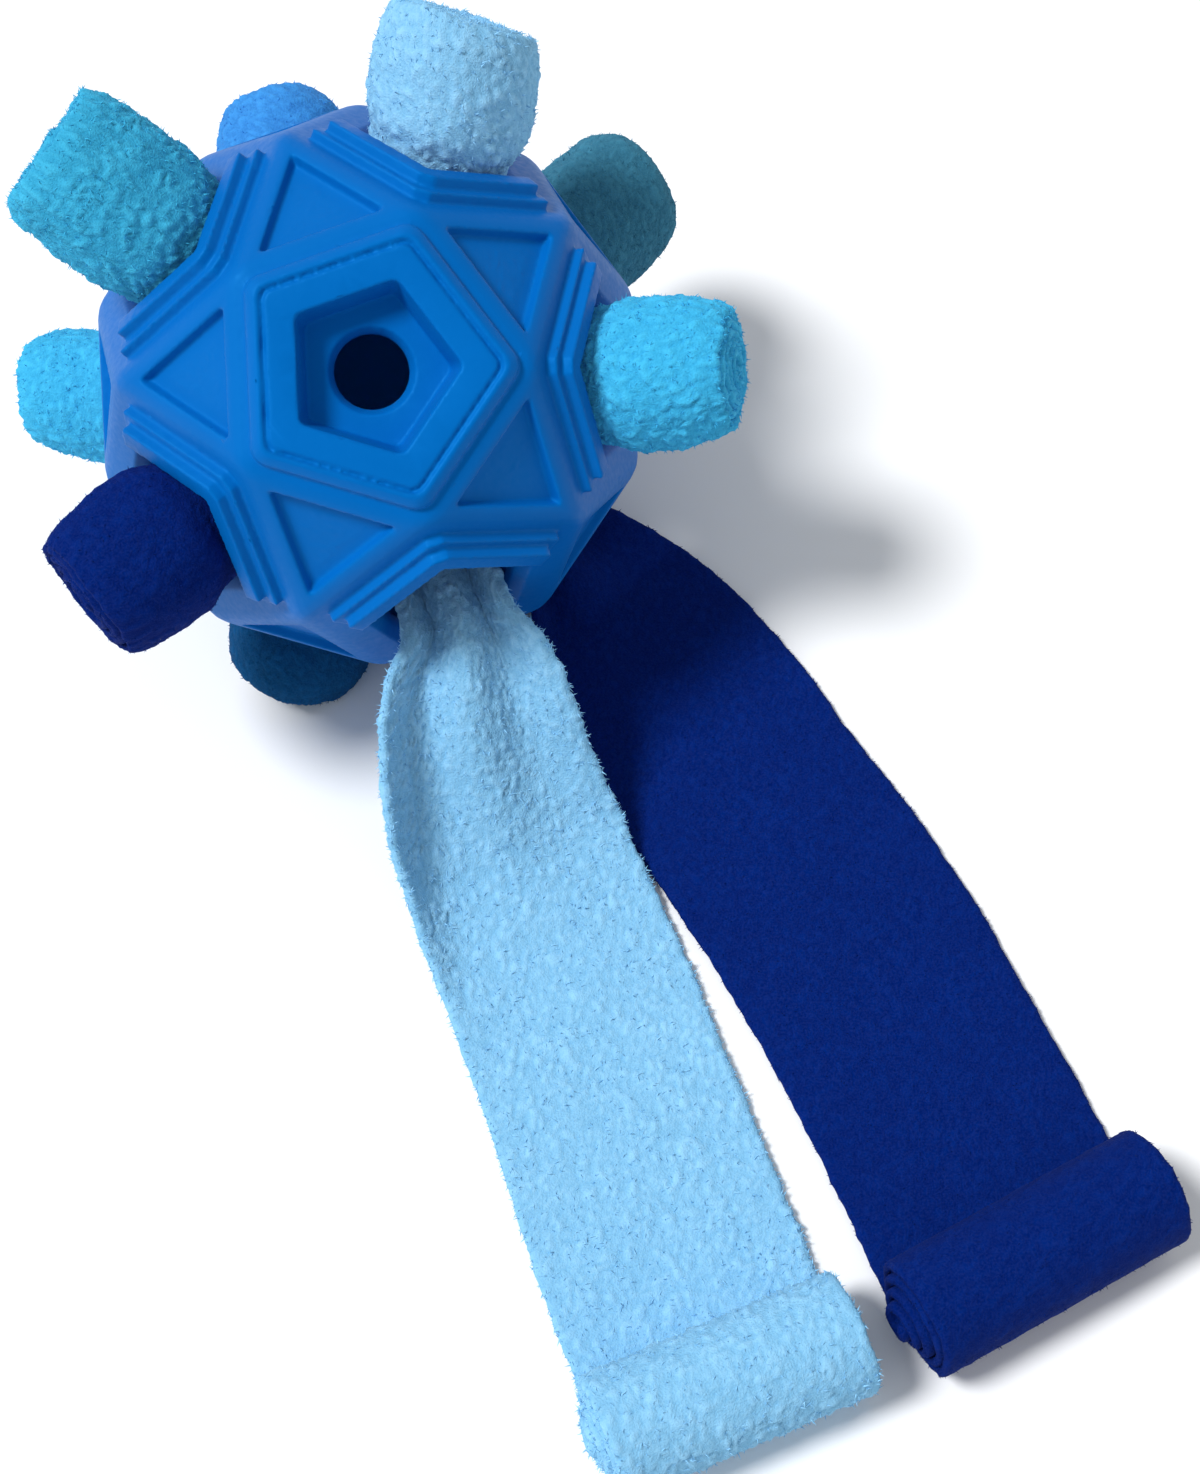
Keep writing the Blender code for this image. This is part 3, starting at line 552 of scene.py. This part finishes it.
def make_strip(name, table, lump, pile, slide, thin, seed):
    places = np.linspace(0, len(table) - 1, 2000)
    rows = along_table(table, places)
    run = np.concatenate([[0], np.cumsum(np.linalg.norm(np.diff(rows[:, :3], axis=0), axis=1))])
    laid = np.arange(0, run[-1], STRIP_STEP)
    rows = np.stack([np.interp(laid, run, rows[:, k]) for k in range(rows.shape[1])], -1)
    rows[:, 6:] = np.maximum(rows[:, 6:], 0)
    origin = np.array([BALL_CENTRE[0], BALL_CENTRE[1], 0.0])
    middle = rows[:, :3].copy()
    middle[:, 2] = np.maximum(middle[:, 2], CLOTH / 2 + rows[:, 6])
    middle += origin

    last = rows[-1]
    heading = math.radians(last[4])
    forward = np.array([math.cos(heading), math.sin(heading), 0.0])
    start_radius = LOG_RADIUS - CLOTH / 2
    turn, wound = [], 0.0
    while start_radius - LOG_PITCH * wound / (2 * math.pi) > CORE + 0.4:
        radius = start_radius - LOG_PITCH * wound / (2 * math.pi)
        wound += (STRIP_STEP if wound < 2.3 * math.pi else COARSE_STEP) / radius
        turn.append(wound)
    turn = np.array(turn)
    radius = start_radius - LOG_PITCH * turn / (2 * math.pi)
    log = middle[-1] + forward * (radius * np.sin(turn))[:, None]
    log[:, 2] += start_radius - radius * np.cos(turn)
    steps = np.diff(turn, prepend=0) * radius
    length = np.concatenate([laid, laid[-1] + np.cumsum(steps)])
    middle = np.concatenate([middle, log])
    rows = np.concatenate([rows, np.repeat(last[None], len(turn), 0)])
    wound = np.concatenate([np.zeros(len(laid)), turn])

    direction = unit(np.gradient(middle, axis=0))
    headings = np.radians(rows[:, 4])
    left = np.stack([-np.sin(headings), np.cos(headings), 0 * headings], -1)
    bank = np.radians(rows[:, 5])[:, None]
    left = left * np.cos(bank) + np.cross(direction, left) * np.sin(bank)
    up = unit(np.cross(direction, left))

    share = np.linspace(1, -1, ACROSS_STEPS)
    flat = np.stack(np.broadcast_arrays(length[:, None], share[None] * 24, 0.0), -1)
    beside = flat * np.array([1, 0, 0]) + np.sign(share)[None, :, None] * np.array([0, 9, 0])
    ripple = 0.5 * smooth_noise(beside, 9, seed) + 0.25 * smooth_noise(beside, 2.5, seed + 1)
    sideways = share[None] * rows[:, 3, None] / 2 + ripple * np.abs(share) ** 4
    slid = np.clip(wound / (2 * math.pi) - 0.75, 0, 4) * slide / 2
    slid += 0.4 * smooth_noise(np.stack([length, 0 * length, 0 * length], -1), 25, seed + 2) * (wound > 6)
    sideways = sideways - slid[:, None]
    lift = rows[:, 6, None] * np.cos(math.pi * PLEATS * (share[None] + 1))
    edge = np.maximum(0, (-share[None] - 1 + CURL_SHARE) / CURL_SHARE)
    lift = lift + rows[:, 7, None] * edge**2
    lying = np.clip((length - 60) / 30, 0, 1) * np.clip((length[len(laid) - 1] - length) / 15, 0, 1)
    lift = lift + lying[:, None] * (0.35 + 0.35 * smooth_noise(flat, 16, seed + 4))
    grid = middle[:, None] + left[:, None] * sideways[..., None] + up[:, None] * lift[..., None]

    taper = rounded_end(length, length[-1] - length)
    pile_front = pile_height(flat[..., 0], flat[..., 1], 1, lump, seed + 10)
    pile_back = pile_height(flat[..., 0], flat[..., 1], -1, lump, seed + 30)
    open_face = np.clip((0.8 - wound) / 0.5, 0.15, 1)[:, None]
    off_floor = np.clip((grid[..., 2] - 3) / 3, 0, 1) * np.clip((7.5 - wound) / 1.0, 0.15, 1)[:, None]
    front = (CLOTH / 2 + pile * (pile_front - 0.25) * open_face) * taper[:, None]
    back = (CLOTH / 2 + pile * (pile_back - 0.25) * off_floor) * taper[:, None]
    columns = sorted({*range(0, ACROSS_STEPS, thin), *range(6), *range(ACROSS_STEPS - 6, ACROSS_STEPS)})
    strip = cloth_object(name, grid, front, back, columns)
    back_lift = pile_back[:, columns]
    # The stored pile height also sets the painted shade in the creases, in the fleece material.
    store(strip.data, "pile", round_the_loop(pile_front, pile_front[:, -1], back_lift, pile_front[:, 0]))
    outside = np.clip((length - 8) / 4, 0, 1)
    laid_face = TUFTS_ON_FACE * outside * (wound < 0.3)
    log_face = TUFTS_ON_FACE * (off_floor * (wound < 7.0)[:, None] * outside[:, None])[:, columns]
    rims = TUFTS_ON_RIM * outside
    store(strip.data, "tufts", round_the_loop(laid_face[:, None] + 0 * pile_front, rims, log_face, rims))
    points = positions(strip.data)
    points[:, 2] = np.maximum(points[:, 2], 0.02)
    set_positions(strip.data, points)
    return strip, (float(rows[len(laid) // 2 :, 3].mean()) * MM, float(length[-1]) * MM)


for number, (name, table, slot, lump, pile, slide, thin) in enumerate(STRIPS):
    strip, flat_size = make_strip(name, table, lump, pile, slide, thin, 300 + 50 * number)
    sheets.append((strip, slot, name, flat_size, "laid"))
    print(name, "faces:", len(strip.data.polygons), "flat mm:", [round(v / MM) for v in flat_size])

# %% [markdown]
# Fleece scatters light: its fibres catch a pale rim where the cloth turns away, and the creases between the
# lumps stay dark. So the colour carries painted shade: it runs from a darker crease-shade tone to a light one
# with the stored height of the pile, a soft noise clouds it, and the sheen of the shader gives the rim. A fine
# bump stands for the fibres that are too thin to model.

# %% Materials
FLEECE = {
    # slot: painted crease-shade colour, colour on the lumps, sheen
    "fleece_cyan": ((0.03, 0.34, 0.62), (0.06, 0.50, 0.82), 0.12),
    "fleece_sky": ((0.17, 0.44, 0.70), (0.29, 0.60, 0.88), 0.12),
    "fleece_turquoise": ((0.025, 0.30, 0.52), (0.055, 0.46, 0.72), 0.12),
    "fleece_navy": ((0.0, 0.009, 0.11), (0.0002, 0.017, 0.165), 0.02),
    "fleece_teal": ((0.025, 0.13, 0.21), (0.05, 0.22, 0.33), 0.12),
    "fleece_mid_blue": ((0.03, 0.19, 0.54), (0.05, 0.30, 0.74), 0.12),
    "fleece_petrol": ((0.002, 0.045, 0.13), (0.004, 0.075, 0.21), 0.05),
}


def mapped_noise(nodes, links, scale, detail=3.0):
    place = nodes.new("ShaderNodeTexCoord")
    made = nodes.new("ShaderNodeTexNoise")
    made.inputs["Scale"].default_value = scale
    made.inputs["Detail"].default_value = detail
    links.new(place.outputs["Object"], made.inputs["Vector"])
    return made


def mixed_colour(nodes, links, factor, low, high):
    mix = nodes.new("ShaderNodeMix")
    mix.data_type = "RGBA"
    links.new(factor, mix.inputs["Factor"])
    for socket, value in ((mix.inputs[6], low), (mix.inputs[7], high)):
        if isinstance(value, bpy.types.NodeSocket):
            links.new(value, socket)
        else:
            socket.default_value = (*value, 1)
    return mix.outputs[2]


def scaled(nodes, links, value, low, high, to_low=0.0, to_high=1.0):
    span = nodes.new("ShaderNodeMapRange")
    for socket, number in (("From Min", low), ("From Max", high), ("To Min", to_low), ("To Max", to_high)):
        span.inputs[socket].default_value = number
    links.new(value, span.inputs["Value"])
    return span.outputs["Result"]


def fleece_material(name, crease_shade_colour, light, sheen):
    made = bpy.data.materials.new(name)
    made.use_nodes = True
    nodes, links = made.node_tree.nodes, made.node_tree.links
    surface = nodes["Principled BSDF"]
    pile = nodes.new("ShaderNodeAttribute")
    pile.attribute_name = "pile"
    # Painted shade: the colour darkens towards the crease-shade colour where the stored pile is low, in the
    # creases.
    colour = mixed_colour(nodes, links, scaled(nodes, links, pile.outputs["Fac"], 0.0, 0.75), crease_shade_colour, light)
    cloud = mapped_noise(nodes, links, 160)
    shade = scaled(nodes, links, cloud.outputs["Fac"], 0.3, 0.7, 0.0, 0.35)
    colour = mixed_colour(nodes, links, shade, colour, crease_shade_colour)
    fibre = mapped_noise(nodes, links, 2600, 4.0)
    bright = scaled(nodes, links, fibre.outputs["Fac"], 0.35, 0.7, 0.0, 0.3)
    colour = mixed_colour(nodes, links, bright, colour, tuple(min(1, c * 1.25 + 0.02) for c in light))
    links.new(colour, surface.inputs["Base Color"])
    surface.inputs["Roughness"].default_value = 0.95
    surface.inputs["Specular IOR Level"].default_value = 0.12
    surface.inputs["Specular Tint"].default_value = (*light, 1)
    surface.inputs["Sheen Weight"].default_value = sheen
    surface.inputs["Sheen Roughness"].default_value = 0.45
    surface.inputs["Sheen Tint"].default_value = (*[min(1, c + 0.25) for c in light], 1)
    bump = nodes.new("ShaderNodeBump")
    bump.inputs["Strength"].default_value = 0.7
    bump.inputs["Distance"].default_value = 0.0004
    links.new(fibre.outputs["Fac"], bump.inputs["Height"])
    links.new(bump.outputs["Normal"], surface.inputs["Normal"])
    return made


def rubber_material():
    made = bpy.data.materials.new("blue_rubber")
    made.use_nodes = True
    nodes, links = made.node_tree.nodes, made.node_tree.links
    surface = nodes["Principled BSDF"]
    cloud = mapped_noise(nodes, links, 45)
    colour = mixed_colour(nodes, links, cloud.outputs["Fac"], (0.0, 0.118, 0.43), (0.0, 0.135, 0.49))
    links.new(colour, surface.inputs["Base Color"])
    grain = mapped_noise(nodes, links, 900, 4.0)
    links.new(scaled(nodes, links, grain.outputs["Fac"], 0.3, 0.7, 0.44, 0.58), surface.inputs["Roughness"])
    surface.inputs["Specular IOR Level"].default_value = 0.4
    surface.inputs["Specular Tint"].default_value = (0.04, 0.45, 1.0, 1)
    bump = nodes.new("ShaderNodeBump")
    bump.inputs["Strength"].default_value = 0.15
    bump.inputs["Distance"].default_value = 0.0002
    links.new(grain.outputs["Fac"], bump.inputs["Height"])
    links.new(bump.outputs["Normal"], surface.inputs["Normal"])
    return made


fleece = {slot: fleece_material(slot + "_pile", *row) for slot, row in FLEECE.items()}
ball.data.materials.append(rubber_material())
for sheet, slot, *_ in sheets:
    sheet.data.materials.append(fleece[slot])
print("materials:", len(fleece) + 1)

# %% [markdown]
# Lumps alone look like plaster. Fleece also has loose fibres that stand off it, most of all along its cut
# edges. Hair curves could show them, but a thin closed tuft keeps its shape in every export. A Geometry
# Nodes tree plants them: it scatters roots over the cloth where the stored number of tufts asks for them,
# puts a three-sided spike on each, leans it by a random angle and turns the lot into one mesh.

# %% Tufts of loose fibre
TUFTS = {
    # slot: tufts for each square millimetre, length and width of a tuft in millimetres
    "fleece_cyan": (1.1, 0.9, 0.26),
    "fleece_sky": (0.9, 1.0, 0.28),
    "fleece_turquoise": (1.1, 0.9, 0.26),
    "fleece_navy": (0.6, 0.6, 0.2),
    "fleece_teal": (0.9, 0.8, 0.22),
    "fleece_mid_blue": (0.9, 0.7, 0.22),
    "fleece_petrol": (0.7, 0.7, 0.22),
}
TUFT_LEAN = 1.15
TUFT_SMALLEST = 0.5
TUFT_LARGEST = 1.3
# Where the tufts sit on the fleece's painted crease shade: 1 is the light end, with no painted shade.
TUFT_TONE = 1.0
TUFT_SOCKETS = (
    ("Tufts per square metre", "NodeSocketFloat"), ("Length", "NodeSocketFloat"), ("Width", "NodeSocketFloat"),
    ("Seed", "NodeSocketInt"), ("Finish", "NodeSocketMaterial"),
)


def tuft_tree():
    tree = bpy.data.node_groups.new("tufts", "GeometryNodeTree")
    tree.interface.new_socket("Cloth", in_out="INPUT", socket_type="NodeSocketGeometry")
    for label, kind in TUFT_SOCKETS:
        tree.interface.new_socket(label, in_out="INPUT", socket_type=kind)
    tree.interface.new_socket("Tufts", in_out="OUTPUT", socket_type="NodeSocketGeometry")
    nodes, link = tree.nodes, tree.links.new
    given = nodes.new("NodeGroupInput")

    wanted = nodes.new("GeometryNodeInputNamedAttribute")
    wanted.data_type = "FLOAT"
    wanted.inputs["Name"].default_value = "tufts"
    number = nodes.new("ShaderNodeMath")
    number.operation = "MULTIPLY"
    link(wanted.outputs["Attribute"], number.inputs[0])
    link(given.outputs["Tufts per square metre"], number.inputs[1])
    roots = nodes.new("GeometryNodeDistributePointsOnFaces")
    link(given.outputs["Cloth"], roots.inputs["Mesh"])
    link(number.outputs["Value"], roots.inputs["Density"])
    link(given.outputs["Seed"], roots.inputs["Seed"])

    spike = nodes.new("GeometryNodeMeshCone")
    spike.inputs["Vertices"].default_value = 3
    spike.inputs["Radius Top"].default_value = 0
    link(given.outputs["Width"], spike.inputs["Radius Bottom"])
    link(given.outputs["Length"], spike.inputs["Depth"])

    lean = nodes.new("FunctionNodeRandomValue")
    lean.data_type = "FLOAT_VECTOR"
    lean.inputs[0].default_value = (-TUFT_LEAN, -TUFT_LEAN, -math.pi)
    lean.inputs[1].default_value = (TUFT_LEAN, TUFT_LEAN, math.pi)
    link(given.outputs["Seed"], lean.inputs["Seed"])
    leaning = nodes.new("FunctionNodeEulerToRotation")
    link(lean.outputs[0], leaning.inputs[0])
    turn = nodes.new("FunctionNodeRotateRotation")
    turn.rotation_space = "LOCAL"
    link(roots.outputs["Rotation"], turn.inputs["Rotation"])
    link(leaning.outputs[0], turn.inputs["Rotate By"])
    size = nodes.new("FunctionNodeRandomValue")
    size.data_type = "FLOAT"
    size.inputs[2].default_value = TUFT_SMALLEST
    size.inputs[3].default_value = TUFT_LARGEST
    link(given.outputs["Seed"], size.inputs["Seed"])

    planted = nodes.new("GeometryNodeInstanceOnPoints")
    link(roots.outputs["Points"], planted.inputs["Points"])
    link(spike.outputs["Mesh"], planted.inputs["Instance"])
    link(turn.outputs["Rotation"], planted.inputs["Rotation"])
    link(size.outputs[1], planted.inputs["Scale"])
    one = nodes.new("GeometryNodeRealizeInstances")
    link(planted.outputs["Instances"], one.inputs["Geometry"])
    finish = nodes.new("GeometryNodeSetMaterial")
    link(one.outputs["Geometry"], finish.inputs["Geometry"])
    link(given.outputs["Finish"], finish.inputs["Material"])
    link(finish.outputs["Geometry"], nodes.new("NodeGroupOutput").inputs["Tufts"])
    return tree


def plant(sheet, name, tree, values):
    """The tufts of one sheet, as a plain mesh of their own."""
    tufts = bpy.data.objects.new(name, sheet.data.copy())
    bpy.context.scene.collection.objects.link(tufts)
    planting = tufts.modifiers.new("planting", "NODES")
    planting.node_group = tree
    sockets = {item.name: item.identifier for item in tree.interface.items_tree if item.in_out == "INPUT"}
    for (label, _), value in zip(TUFT_SOCKETS, values):
        planting[sockets[label]] = value
    tufts.data = plain_mesh(tufts, name)
    # The tufts take the light end of the fleece's painted crease shade.
    store(tufts.data, "pile", np.full(len(tufts.data.vertices), TUFT_TONE))
    return tufts


tree = tuft_tree()
tufts_of = {}
for number, (sheet, slot, node, *_) in enumerate(sheets):
    density, long, wide = TUFTS[slot]
    values = (density / MM**2, long * MM, wide / 2 * MM, 40 + number, fleece[slot])
    tufts_of[node] = plant(sheet, f"tufts_{node}", tree, values)
    print(f"tufts_{node}:", len(tufts_of[node].data.polygons) // 4)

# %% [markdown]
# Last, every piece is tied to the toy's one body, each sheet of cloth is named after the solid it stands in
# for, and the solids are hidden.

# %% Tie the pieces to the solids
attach(ball, "root")
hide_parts("ball_shell")
for sheet, slot, node, flat_size, held in sheets:
    sheet.name = f"fleece_{node}"
    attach(sheet, "root")
    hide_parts(node)
    tufts = tufts_of[node]
    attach(tufts, "root")

triangles = sum(len(face.vertices) - 2 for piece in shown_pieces() for face in piece.data.polygons)
print("triangles in all:", triangles)
